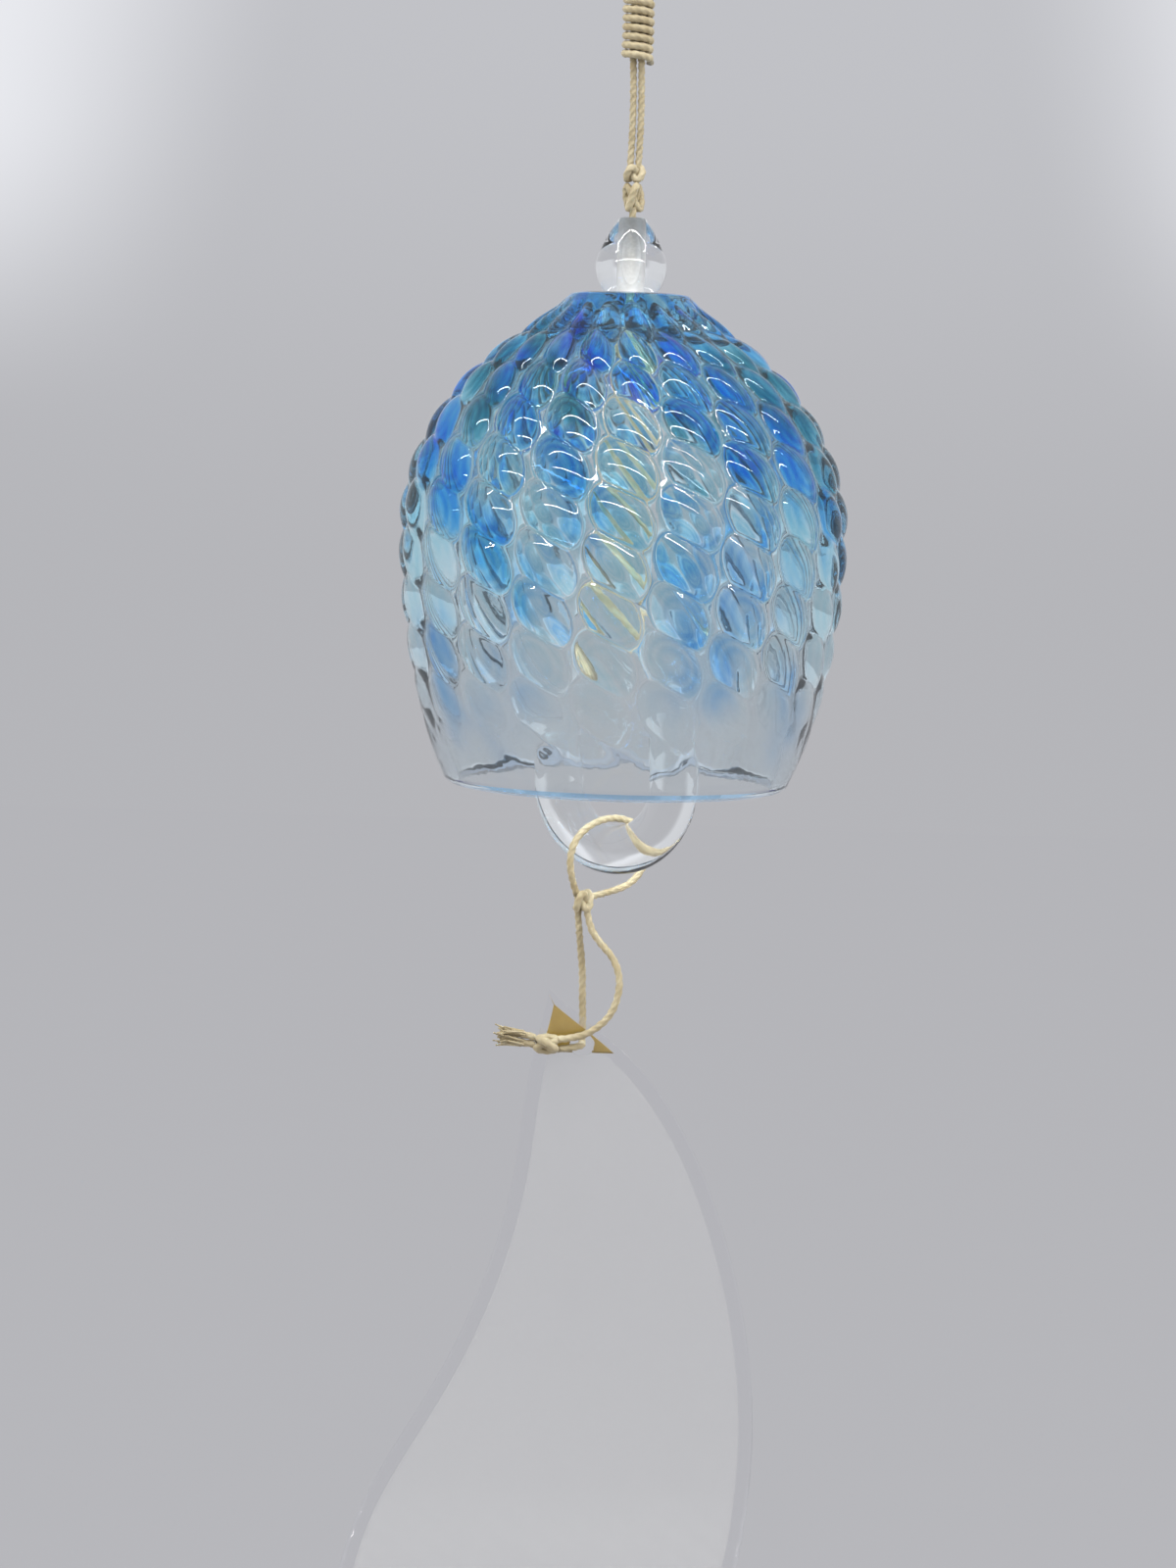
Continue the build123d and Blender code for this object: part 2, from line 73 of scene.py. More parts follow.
loop_route = [(-7.2, -7.4), (-8.9, -3.6), (-8.6, 1.0), (-5.8, 4.0), (-1.2, 5.5), (3.6, 4.7),
              (6.9, 2.4), (7.2, -2.2), (4.4, -5.9), (-0.3, -7.3), (-5.0, -7.9)]
back_route = [(-0.75, 0.2, 1.0), (-0.2, 0.9, -5.0), (0.4, 1.4, -9.8), (0.5, 1.6, -14.4),
              (0.7, 1.6, -18.8), (0.7, 1.6, -22.4), (0.7, -2.4, -22.4), (-3.4, -2.6, -22.9)]
front_route = [(0.75, -0.2, 1.0), (1.3, -0.3, -2.4), (3.2, -0.7, -5.0), (5.6, -1.3, -7.4),
               (6.8, -2.0, -10.8), (6.4, -2.4, -14.4), (4.9, -2.7, -17.6), (1.6, -2.8, -20.2),
               (-1.5, -2.8, -21.0), (-3.4, -2.8, -21.2)]
strip_knot = hitch_bottom + Vector((-5.2, -2.75, -22.0))
strip_knot_along = Vector((-1.0, 0.0, 0.2)).normalized()

strip_tip, strip_bottom = (-5.9, 9.2), (-9.0, -121.0)
right_edge = [(7.1, -1.2), (25.3, -32.9), (30.8, -64.0), (28.0, -89.0), (15.0, -112.0)]
left_edge = [(-34.0, -111.0), (-38.5, -90.0), (-23.9, -59.2), (-10.8, -21.4), (-8.1, -1.6)]
film_border, tab_border, tab_bottom = 2.4, 1.3, -1.4


# Mesh helpers

def new_mesh(name, points, faces, material):
    """A mesh object from points in millimetres."""
    mesh = bpy.data.meshes.new(name)
    mesh.from_pydata([tuple(MM * value for value in point) for point in points], [], faces)
    mesh.validate()
    mesh.update()
    piece = bpy.data.objects.new(name, mesh)
    bpy.context.scene.collection.objects.link(piece)
    mesh.polygons.foreach_set("use_smooth", [True] * len(mesh.polygons))
    mesh.materials.append(material)
    return piece


def cubic_through(points, leaving, arriving, steps):
    """Points on one smooth cubic through the given points, with its end directions."""
    knots = np.array(points, float)
    spans = np.linalg.norm(np.diff(knots, axis=0), axis=1)
    count = len(knots)
    matrix = np.zeros((count, count))
    right = np.zeros((count, 2))
    matrix[0, 0] = matrix[-1, -1] = 1
    right[0] = np.array(leaving) / np.linalg.norm(leaving)
    right[-1] = np.array(arriving) / np.linalg.norm(arriving)
    for place in range(1, count - 1):
        before, after = spans[place - 1], spans[place]
        matrix[place, place - 1] = 1 / before
        matrix[place, place] = 2 / before + 2 / after
        matrix[place, place + 1] = 1 / after
        right[place] = 3 * ((knots[place] - knots[place - 1]) / before**2
                            + (knots[place + 1] - knots[place]) / after**2)
    slopes = np.linalg.solve(matrix, right)
    made = [knots[0]]
    for place, span in enumerate(spans):
        for share in np.linspace(0, 1, steps + 1)[1:]:
            square, cube = share**2, share**3
            made.append((2 * cube - 3 * square + 1) * knots[place]
                        + (cube - 2 * square + share) * span * slopes[place]
                        + (3 * square - 2 * cube) * knots[place + 1]
                        + (cube - square) * span * slopes[place + 1])
    return np.array(made)


def spline_points(route, fineness=10):
    """Points along a smooth spline whose control points are the route's."""
    curve = bpy.data.curves.new("route", "CURVE")
    curve.dimensions = "3D"
    curve.resolution_u = fineness
    spline = curve.splines.new("NURBS")
    spline.points.add(len(route) - 1)
    for point, place in zip(spline.points, route):
        point.co = (*place, 1)
    spline.order_u = 3
    spline.use_endpoint_u = True
    holder = bpy.data.objects.new("route", curve)
    bpy.context.scene.collection.objects.link(holder)
    bpy.context.view_layer.update()
    seen = holder.evaluated_get(bpy.context.evaluated_depsgraph_get())
    mesh = bpy.data.meshes.new_from_object(seen)
    points = [vertex.co.copy() for vertex in mesh.vertices]
    bpy.data.objects.remove(holder)
    bpy.data.meshes.remove(mesh)
    return points


def rope(name, points, material, radius=cord_radius, lay=4.2, plies=3, groove=0.17, closed=False, start=0.0):
    """A twisted cord along points, its plies laid round each other."""
    sides = 5 * plies
    points = [Vector(point) for point in points]
    count = len(points)
    following = [points[(i + 1) % count] if closed else points[min(i + 1, count - 1)] for i in range(count)]
    previous = [points[i - 1] if closed else points[max(i - 1, 0)] for i in range(count)]
    headings = [(after - before).normalized() for before, after in zip(previous, following)]
    normal = headings[0].orthogonal().normalized()
    travelled = 0.0
    turn_back = 0.0
    if closed:
        carried = normal.copy()
        for i in range(count):
            carried = headings[i].rotation_difference(headings[(i + 1) % count]) @ carried
        turn_back = atan2(carried.cross(normal).dot(headings[0]), carried.dot(normal))
    total = sum((b - a).length for a, b in zip(points, points[1:]))
    if closed:
        total += (points[0] - points[-1]).length
        lay = total / max(1, round(total / lay))
    rings = []
    for i in range(count):
        if i:
            normal = headings[i - 1].rotation_difference(headings[i]) @ normal
            travelled += (points[i] - points[i - 1]).length
        side = headings[i].cross(normal)
        twist = start + 2 * pi * travelled / lay + turn_back * travelled / total
        slow = 1 + 0.03 * sin(travelled * 1.7 + start)
        for corner in range(sides):
            angle = 2 * pi * corner / sides
            reach = radius * slow * (1 - groove * (0.5 - 0.5 * cos(plies * angle)))
            angle += twist
            rings.append(points[i] + reach * (cos(angle) * normal + sin(angle) * side))
    faces = []
    for i in range(count if closed else count - 1):
        low, high = i * sides, ((i + 1) % count) * sides
        for corner in range(sides):
            after = (corner + 1) % sides
            faces.append((low + corner, low + after, high + after, high + corner))
    if not closed:
        faces.append(tuple(reversed(range(sides))))
        faces.append(tuple(range((count - 1) * sides, count * sides)))
    return new_mesh(name, rings, faces, material)


def revolved(name, profile, material, around):
    """A closed ring of a profile, given as (radius, level) points round its section."""
    points = []
    for radius, level in profile:
        for step in range(around):
            angle = 2 * pi * step / around
            points.append((radius * cos(angle), radius * sin(angle), level))
    faces = []
    count = len(profile)
    for place in range(count):
        low, high = place * around, ((place + 1) % count) * around
        for step in range(around):
            after = (step + 1) % around
            faces.append((low + step, high + step, high + after, low + after))
    return new_mesh(name, points, faces, material)


def overhand(name, centre, along, radius, height, material, turn=0.0, cord=cord_radius):
    """A tight overhand knot: a cord that crosses itself three times."""
    across = along.orthogonal().normalized()
    across = Quaternion(along, turn) @ across
    other = along.cross(across)
    points = []
    for step in range(90):
        angle = 2 * pi * step / 90
        wide = (sin(angle) + 2 * sin(2 * angle)) / 3
        deep = (cos(angle) - 2 * cos(2 * angle)) / 3
        tall = -sin(3 * angle)
        points.append(centre + (radius - cord) * (wide * across + deep * other)
                      + (height / 2 - cord) * tall * along)
    return rope(name, points, material, radius=cord, closed=True)


# Materials

def new_material(name):
    """A material with its node tree and its shader."""
    material = bpy.data.materials.new(name)
    material.use_nodes = True
    tree = material.node_tree
    return material, tree, tree.nodes["Principled BSDF"]


def node(tree, kind, **values):
    """A node with its plain values set."""
    made = tree.nodes.new(kind)
    for key, value in values.items():
        setattr(made, key, value)
    return made


def noise(tree, scale, detail=4.0):
    """Noise in the object's own coordinates."""
    place = node(tree, "ShaderNodeTexCoord")
    texture = node(tree, "ShaderNodeTexNoise")
    texture.inputs["Scale"].default_value = scale
    texture.inputs["Detail"].default_value = detail
    texture.inputs["Roughness"].default_value = 0.55
    tree.links.new(place.outputs["Object"], texture.inputs["Vector"])
    return texture


def calculate(tree, operation, first, second=0.0):
    """A sum, product or other operation on two values."""
    made = node(tree, "ShaderNodeMath", operation=operation)
    for socket, value in zip(made.inputs, (first, second)):
        if isinstance(value, (int, float)):
            socket.default_value = value
        else:
            tree.links.new(value, socket)
    return made.outputs["Value"]


def soft_step(tree, value, low, high):
    """0 below low, 1 above high, smooth between, as a node."""
    made = node(tree, "ShaderNodeMapRange", interpolation_type="SMOOTHSTEP")
    made.inputs["From Min"].default_value = low
    made.inputs["From Max"].default_value = high
    tree.links.new(value, made.inputs["Value"])
    return made.outputs["Result"]


def mixed(tree, share, first, second):
    """Two colours mixed by a share."""
    made = node(tree, "ShaderNodeMix", data_type="RGBA")
    tree.links.new(share, made.inputs["Factor"])
    for socket, value in ((made.inputs[6], first), (made.inputs[7], second)):
        if isinstance(value, tuple):
            socket.default_value = (*value, 1)
        else:
            tree.links.new(value, socket)
    return made.outputs[2]


def seen_ray(tree):
    """1 for rays that show the surround: from the camera, or through and off the glass."""
    path = node(tree, "ShaderNodeLightPath")
    either = calculate(tree, "MAXIMUM", path.outputs["Is Camera Ray"], path.outputs["Is Glossy Ray"])
    return calculate(tree, "MAXIMUM", either, path.outputs["Is Transmission Ray"])


def ramp(tree, source, stops):
    """Colours along a value."""
    made = node(tree, "ShaderNodeValToRGB")
    elements = made.color_ramp.elements
    while len(elements) < len(stops):
        elements.new(0.5)
    for element, (place, colour) in zip(elements, stops):
        element.position = place
        element.color = (*colour, 1)
    tree.links.new(source, made.inputs["Fac"])
    return made.outputs["Color"]


def bump(tree, shader, height, strength, distance):
    """Bump from a height."""
    made = node(tree, "ShaderNodeBump")
    made.inputs["Strength"].default_value = strength
    made.inputs["Distance"].default_value = distance
    tree.links.new(height, made.inputs["Height"])
    tree.links.new(made.outputs["Normal"], shader.inputs["Normal"])


def cord_material():
    """Cream waxed cotton: fine fibres, a little darker here and there."""
    material, tree, shader = new_material("waxed_cord")
    blotch = noise(tree, 260, 3)
    colour = ramp(tree, blotch.outputs["Fac"], [(0.3, (0.41, 0.33, 0.18)), (0.7, (0.56, 0.485, 0.31))])
    tree.links.new(colour, shader.inputs["Base Color"])
    fibre = noise(tree, 5200, 3)
    bump(tree, shader, fibre.outputs["Fac"], 0.35, 0.00012)
    shader.inputs["Roughness"].default_value = 0.62
    shader.inputs["Sheen Weight"].default_value = 0.25
    shader.inputs["Subsurface Weight"].default_value = 0.12
    shader.inputs["Subsurface Radius"].default_value = (0.0008, 0.0006, 0.0004)
    return material


def clear_glass():
    """Solid clear glass, with the faint waves of a drawn rod."""
    material, tree, shader = new_material("clear_glass")
    shader.inputs["Base Color"].default_value = (0.97, 0.985, 0.99, 1)
    shader.inputs["Roughness"].default_value = 0.015
    shader.inputs["Transmission Weight"].default_value = 1.0
    shader.inputs["IOR"].default_value = 1.5
    wave = noise(tree, 140, 2)
    bump(tree, shader, wave.outputs["Fac"], 0.12, 0.0004)
    return material


def frosted_bore():
    """The ground white wall of the bead's hole."""
    material, tree, shader = new_material("frosted_bore")
    grain = noise(tree, 2400, 4)
    colour = ramp(tree, grain.outputs["Fac"], [(0.35, (0.50, 0.50, 0.49)), (0.7, (0.58, 0.58, 0.57))])
    tree.links.new(colour, shader.inputs["Base Color"])
    shader.inputs["Roughness"].default_value = 0.6
    shader.inputs["Transmission Weight"].default_value = 0.25
    return material


def swirl_glass():
    """Mould-blown glass, tinted by the mesh's own swirl colour, which also carries painted refraction rings
    and painted pale groove lines, with fine drawn streaks.
    """
    material, tree, shader = new_material("swirl_glass")
    tint = node(tree, "ShaderNodeVertexColor", layer_name="swirl")
    tree.links.new(tint.outputs["Color"], shader.inputs["Base Color"])
    shader.inputs["Roughness"].default_value = 0.02
    shader.inputs["Transmission Weight"].default_value = 1.0
    shader.inputs["IOR"].default_value = 1.45
    shader.inputs["Alpha"].default_value = 0.97
    wave = noise(tree, 110, 3)
    bump(tree, shader, wave.outputs["Fac"], 0.10, 0.0006)
    depth = node(tree, "ShaderNodeVolumeAbsorption")
    depth.inputs["Color"].default_value = (0.20, 0.62, 0.88, 1)
    depth.inputs["Density"].default_value = 12.0
    tree.links.new(depth.outputs["Volume"], tree.nodes["Material Output"].inputs["Volume"])
    return material


def lip_painted_shade_glass():
    """The fire-polished lip, tinted a deeper blue than the glass above it as painted shade, which shows as a
    faint blue line.
    """
    material, _, shader = new_material("lip_painted_shade_glass")
    shader.inputs["Base Color"].default_value = (0.45, 0.66, 0.95, 1)
    shader.inputs["Roughness"].default_value = 0.03
    shader.inputs["Transmission Weight"].default_value = 1.0
    shader.inputs["IOR"].default_value = 1.2
    shader.inputs["Alpha"].default_value = 0.35
    return material


def film_material():
    """Clear glossy laminating film, so thin that it hardly bends the view."""
    material, tree, shader = new_material("clear_film")
    shader.inputs["Base Color"].default_value = (0.985, 0.985, 0.99, 1)
    shader.inputs["Roughness"].default_value = 0.06
    shader.inputs["Transmission Weight"].default_value = 1.0
    shader.inputs["IOR"].default_value = 1.01
    shader.inputs["Coat Weight"].default_value = 1.0
    shader.inputs["Coat Roughness"].default_value = 0.06
    shader.inputs["Coat IOR"].default_value = 1.5
    ripple = noise(tree, 55, 3)
    bump(tree, shader, ripple.outputs["Fac"], 0.12, 0.0008)
    return material


def film_edge_material():
    """The cut edge of the film, which hardly shows."""
    material, _, shader = new_material("film_edge")
    shader.inputs["Base Color"].default_value = (0.62, 0.62, 0.66, 1)
    shader.inputs["Roughness"].default_value = 0.4
    shader.inputs["Alpha"].default_value = 0.12
    return material


def paper_material():
    """Thin white paper that lets much of the light through."""
    material, tree, shader = new_material("thin_paper")
    fibre = noise(tree, 900, 5)
    colour = ramp(tree, fibre.outputs["Fac"], [(0.3, (0.66, 0.66, 0.61)), (0.7, (0.73, 0.73, 0.68))])
    tree.links.new(colour, shader.inputs["Base Color"])
    shader.inputs["Roughness"].default_value = 0.7
    shader.inputs["Alpha"].default_value = 0.06
    return material


def tab_material():
    """Amber paper of the corner tab."""
    material, tree, shader = new_material("amber_tab")
    cloud = noise(tree, 420, 4)
    colour = ramp(tree, cloud.outputs["Fac"], [(0.3, (0.27, 0.17, 0.02)), (0.7, (0.36, 0.25, 0.05))])
    tree.links.new(colour, shader.inputs["Base Color"])
    shader.inputs["Roughness"].default_value = 0.5
    return material


cord_look = cord_material()
glass_look = clear_glass()
bore_look = frosted_bore()
swirl_look = swirl_glass()
lip_painted_shade_look = lip_painted_shade_glass()
film_look = film_material()
film_edge_look = film_edge_material()
paper_look = paper_material()
tab_look = tab_material()


def place(piece, body, *nodes, slot="cord"):
    """Put a piece on its body in place of the CAD nodes it stands for."""
    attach(piece, body)
    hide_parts(*nodes)
    return piece


# Camera, at the photograph's angle: a little above the rim and slightly rolled
target = Vector((-4.6, 0, rim)) * MM
camera_data = bpy.data.cameras.new("camera")
camera_data.lens = 82.4
camera = bpy.data.objects.new("camera", camera_data)
bpy.context.scene.collection.objects.link(camera)
camera.location = Vector((-4.6, -600, -109)) * MM
look = (target - camera.location).to_track_quat("-Z", "Y")
camera.rotation_mode = "QUATERNION"
camera.rotation_quaternion = look @ Quaternion((0, 0, 1), radians(1.7))
bpy.context.scene.camera = camera


# Cords

def round_rod(centre, across, up, reach, leg):
    """Route of a cord round a rod, with its two legs led together at a distance up."""
    corner = reach / cos(pi / 8)
    straight = reach + 12 * cord_radius
    share = (leg - straight) / (leg - 0.4 * reach)
    lead = strand_half + (reach - strand_half) * share
    route = [(-strand_half, leg), (-lead, straight)]
    for eighth in (157.5, 202.5, 247.5, 292.5, 337.5, 382.5):
        route.append((corner * cos(radians(eighth)), corner * sin(radians(eighth))))
    route += [(lead, straight), (strand_half, leg)]
    return [centre + across * x + up * y for x, y in route]


x_axis, z_axis = Vector((1, 0, 0)), Vector((0, 0, 1))
route = round_rod(Vector((0, 0, -hook_radius)), x_axis, -z_axis, hook_radius + cord_radius,
                  -wrap_top - hook_radius)
points = spline_points(route)
hanging_loop = place(rope("hanging_loop_cord", points, cord_look), "hanger", "hanging_loop")

# Whipping: the wound cord, with its tail at the bottom
winding = []
for step in range(wrap_turns * 32 + 1):
    turn = step / 32
    angle = 2 * pi * turn
    reach = 2.02 + 0.03 * sin(5.1 * turn)
    level = wrap_top - 0.5 - wrap_pitch * turn
    winding.append(Vector((reach * cos(angle), reach * sin(angle), level)))
tail = winding[-1] + Vector((0.15, 0.9, -0.55))
winding.append(tail)
place(rope("whipping_cord", winding, cord_look, radius=0.7, lay=3.6), "hanger", "whipping")


def twin(name, body, cad_node, top, bottom, across, sway):
    """Two strands side by side, with a slight slack in each."""
    pair = []
    for side in (-1, 1):
        points = []
        for step in range(25):
            share = step / 24
            bow = sway * sin(pi * share)
            spot = across * side * (strand_half + bow * side) + Vector((0, 0.3 * bow, 0))
            points.append(Vector((spot.x, spot.y, top + (bottom - top) * share)))
        pair.append(rope(f"{name}_{'left' if side < 0 else 'right'}", points, cord_look, start=side))
    for piece in pair:
        place(piece, body, cad_node)


twin("whipped_strand", "hanger", "whipped_strands", wrap_top, wrap_bottom, x_axis, 0)
twin("suspension_strand", "suspension", "suspension_strands", wrap_bottom + 0.4, knot_top - 0.9, x_axis, 0.22)
twin("core_strand", "core", "core_strands", knot_bottom + 0.9, stop_top - 0.9, Vector((0, 1, 0)), 0)

middle = (knot_top + knot_middle) / 2
place(overhand("upper_knot_cord", Vector((0, 0, middle)), z_axis, 2.05, 3.1, cord_look, 0.4),
      "suspension", "upper_knot")
middle = (knot_middle + knot_bottom) / 2
place(overhand("lower_knot_cord", Vector((0, 0, middle)), z_axis, 2.05, 5.0, cord_look, 1.2),
      "suspension", "lower_knot")
middle = (stop_top + stop_bottom) / 2
place(overhand("stop_knot_cord", Vector((0, 0, middle)), z_axis, stop_radius, 5.0, cord_look, 0.2, 0.85),
      "core", "stop_knot")

ring_along = Vector((cos(radians(ring_turn)), -sin(radians(ring_turn)), 0))
ring_across = Vector((sin(radians(ring_turn)), cos(radians(ring_turn)), 0))
route = round_rod(Vector((0, 0, arch_level)), ring_across, z_axis, rod_radius + 0.4 + cord_radius,
                  stop_bottom - 0.4 - arch_level)
points = spline_points(route)
clapper_cord = place(rope("clapper_cord_rope", points, cord_look), "clapper_line", "clapper_cord")

loop_along = Vector((cos(radians(loop_turn)), sin(radians(loop_turn)), 0))
route = [Vector((0, 0, ring_bottom)) + loop_along * x + z_axis * y for x, y in loop_route]
points = spline_points(route)
strip_loop = place(rope("strip_loop_cord", points, cord_look), "strip_hitch", "strip_loop")
place(overhand("hitch_knot_cord", hitch, z_axis, 2.0, 3.9, cord_look, 0.8), "strip_hitch", "hitch_knot")

points = spline_points([hitch_bottom + Vector(point) for point in back_route])
place(rope("back_strand_cord", points, cord_look), "strip_line", "back_strand")
points = spline_points([hitch_bottom + Vector(point) for point in front_route])
place(rope("front_strand_cord", points, cord_look, start=1.0), "strip_line", "front_strand")
place(overhand("strip_knot_cord", strip_knot, strip_knot_along, 2.0, 4.4, cord_look, 0.5),
      "strip_line", "strip_knot")

# Frayed ends: each tail is a rope that opens into its fibres
tail_start = strip_knot + strip_knot_along * 2.0
tail_pieces = []
for side in (-1, 1):
    base = tail_start + Vector((0, 0, 0.62 * side))
    points = []
    for step in range(8):
        points.append(base + strip_knot_along * step * 0.35 + Vector((0, 0, 0.012 * side * step)))
    tail_pieces.append(rope(f"strip_tail_{'low' if side < 0 else 'high'}", points, cord_look, start=side))
    tip = points[-1]
    for fibre in range(34):
        lean = Vector(random.normal(0, 1, 3)) * 0.15
        reach = 2.6 + 2.2 * random.random()
        root = tip + Vector(random.normal(0, 0.28, 3))
        line = []
        for step in range(7):
            share = step / 6
            line.append(root + strip_knot_along * (reach * share - 0.6) + lean * reach * share**1.5)
        tail_pieces.append(rope(f"strip_fibre_{side + 1}_{fibre}", line, cord_look, radius=0.17, plies=2))
for piece in tail_pieces:
    place(piece, "strip_line", "strip_tails")


# Glass bead: a ball drawn up to a narrow top, with a ground bore
def bead_profile():
    """Section of the bead, from the top of the bore round its outside and back up the bore."""
    neck = bead_top - bead_centre
    touch = atan2(neck, bead_neck) - acos(bead_radius / hypot(bead_neck, neck))
    foot = -acos(bead_foot / bead_radius)
    profile = [(bore_radius, bead_top), (bead_neck - 0.15, bead_top)]
    tip = (bead_neck, bead_top - 0.15)
    end = (bead_radius * cos(touch), bead_centre + bead_radius * sin(touch))
    for share in np.linspace(0, 1, 8)[:-1]:
        bulge = 0.30 * sin(pi * share)
        profile.append((tip[0] + (end[0] - tip[0]) * share + bulge, tip[1] + (end[1] - tip[1]) * share))
    for angle in np.linspace(touch, foot, 40):
        profile.append((bead_radius * cos(angle), bead_centre + bead_radius * sin(angle)))
    profile.append((bore_radius, bead_bottom))
    return profile


bead = revolved("glass_bead", bead_profile(), glass_look, 96)
bead.data.materials.append(bore_look)
for face in bead.data.polygons:
    if hypot(face.center.x, face.center.y) < (bore_radius + 0.05) * MM:
        face.material_index = 1
place(bead, "bead", "drop_bead", slot="clear_glass")
bead.visible_shadow = False


# Bell
def smooth_step(value, low, high):
    """0 below low, 1 above high, smooth between."""
    share = np.clip((value - low) / (high - low), 0, 1)
    return share * share * (3 - 2 * share)


upper = cubic_through([(crown_radius, crown_top), (shoulder_radius, crown_top - shoulder_depth),
                       (bell_radius, crown_top - belly_depth)], (1, -0.9), (0, -1), 60)
lower = cubic_through([(bell_radius, crown_top - belly_depth), (rim_radius, rim)], (0, -1), (-0.5, -1), 90)
envelope = np.vstack([upper, lower[1:]])
travel = np.concatenate([[0], np.cumsum(np.linalg.norm(np.diff(envelope, axis=0), axis=1))])
around = 480


def outward(line):
    """Directions square to a line, pointing out of the bell."""
    heading = np.gradient(line, axis=0)
    heading /= np.linalg.norm(heading, axis=1)[:, None]
    return np.stack([-heading[:, 1], heading[:, 0]], axis=1)


def relief(angle, down):
    """Height of the swirled pillow relief, from 0 in the grooves to 1 on the pillows' tops."""
    row = (down - first_row) / row_pitch
    column = columns * (np.degrees(angle) - 4 + row) / 360
    lean = radians(pillow_lean)
    nearest = np.full_like(column, 9.0)
    for right in (-1, 0, 1, 2):
        for below in (-1, 0, 1, 2):
            aside = pillow_pitch * (column - np.floor(column) - right)
            under = row_pitch * (row - np.floor(row) - below)
            along = (aside * cos(lean) + under * sin(lean)) / pillow_half_long
            across = (under * cos(lean) - aside * sin(lean)) / pillow_half_wide
            nearest = np.minimum(nearest, along**2 + across**2)
    return np.clip(1 - nearest, 0, 1)


sides = np.arange(around) * 2 * pi / around
outer_lines = np.arange(0.5, travel[-1] - 0.6, 0.4)
outer = np.stack([np.interp(outer_lines, travel, envelope[:, k]) for k in (0, 1)], axis=1)
normals = outward(outer)
fade = smooth_step(outer_lines, 1.0, 6.0) * (1 - smooth_step(outer_lines, 66, 90))
depth = relief_depth * np.minimum(1, outer[:, 0] / 25) * fade
section = []

# Seat of the bead and flat of the crown
seat_radius = bead_radius + seat_gap
for share in np.linspace(0, 1, 8):
    radius = seat_inner + (seat_outer - seat_inner) * share
    section.append((radius, bead_centre - sqrt(seat_radius**2 - radius**2)))
section = [(bore_radius, section[0][1])] + [(r, min(z, crown_top)) for r, z in section]
section += [(6.6, crown_top), (8.2, crown_top - 0.05), (9.2, crown_top - 0.25)]

hollow = cubic_through([(bore_radius, crown_inside), *hollow_route, (rim_radius - rim_wall, rim + 0.8)],
                       (1, -0.05), (-0.45, -1), 22)
lip = []
for share in np.linspace(0, 1, 13)[1:-1]:
    angle = pi * share
    middle = rim_radius - rim_wall / 2
    lip.append((middle + rim_wall / 2 * cos(angle), rim + 0.75 - 0.75 * sin(angle)))

points = []
for radius, level in section:
    for angle in sides:
        points.append((radius * cos(angle), radius * sin(angle), level))
for (radius, level), (across, up), low, down in zip(outer, normals, depth, outer_lines):
    height = low * (relief(sides, down) - 1)
    reach = radius + across * height
    levels = level + up * height
    for angle, r, z in zip(sides, reach, levels):
        points.append((r * cos(angle), r * sin(angle), z))
last_outer = len(section) + len(outer)
for radius, level in lip + [tuple(point) for point in hollow[::-1]]:
    for angle in sides:
        points.append((radius * cos(angle), radius * sin(angle), level))
count = len(points) // around
faces = []
for line in range(count):
    low, high = line * around, ((line + 1) % count) * around
    for step in range(around):
        after = (step + 1) % around
        faces.append((low + step, high + step, high + after, low + after))
bell = new_mesh("swirl_bell", points, faces, swirl_look)
# The lip faces take a deeper blue glass: painted shade that draws the rim's edge line.
bell.data.materials.append(lip_painted_shade_look)
lip_start = last_outer * around
lip_end = (last_outer + len(lip) + 2) * around
for face in bell.data.polygons:
    if lip_start <= min(face.vertices) and max(face.vertices) < lip_end:
        face.material_index = 1

